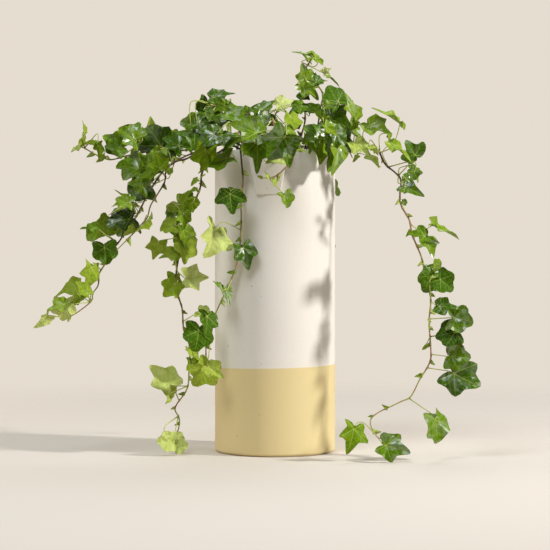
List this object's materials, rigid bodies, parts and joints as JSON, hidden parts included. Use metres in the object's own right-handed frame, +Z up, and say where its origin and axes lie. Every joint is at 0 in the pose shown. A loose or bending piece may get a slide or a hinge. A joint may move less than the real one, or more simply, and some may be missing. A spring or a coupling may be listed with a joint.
{
  "type": "potted ivy",
  "caption": "Trailing ivy with lobed leaves, rooted in soil in a tall cylindrical two-tone stoneware pot with a small pouring lip; stands on its flat base.",
  "frame": {"origin": "centre of the pot's flat base, on the surface that it stands on", "axes": "+Z up along the pot's axis; -Y is the front, which the pouring lip looks along; +X to the right of a viewer in front"},
  "size_m": [0.5002, 0.2582, 0.4646],
  "materials": {
    "pot_glaze": "matte",
    "soil": "matte",
    "ivy_foliage": "satin"
  },
  "bodies": {
    "root": {"pot": "pot_glaze", "soil": "soil", "stem_left_level": "ivy_foliage", "stem_left_long": "ivy_foliage", "stem_left_thin": "ivy_foliage", "stem_left_hanging": "ivy_foliage", "stem_left_rim": "ivy_foliage", "stem_left_high": "ivy_foliage", "stem_front_left": "ivy_foliage", "stem_front_centre": "ivy_foliage", "stem_front_short": "ivy_foliage", "stem_right_rim": "ivy_foliage", "stem_right_trailing": "ivy_foliage", "stem_upright": "ivy_foliage", "stem_upright_right": "ivy_foliage", "stem_centre": "ivy_foliage", "stem_back_left": "ivy_foliage", "stem_back_centre": "ivy_foliage", "stem_back_right": "ivy_foliage", "stem_back_high": "ivy_foliage", "stem_back_side": "ivy_foliage"}
  },
  "joints": []
}
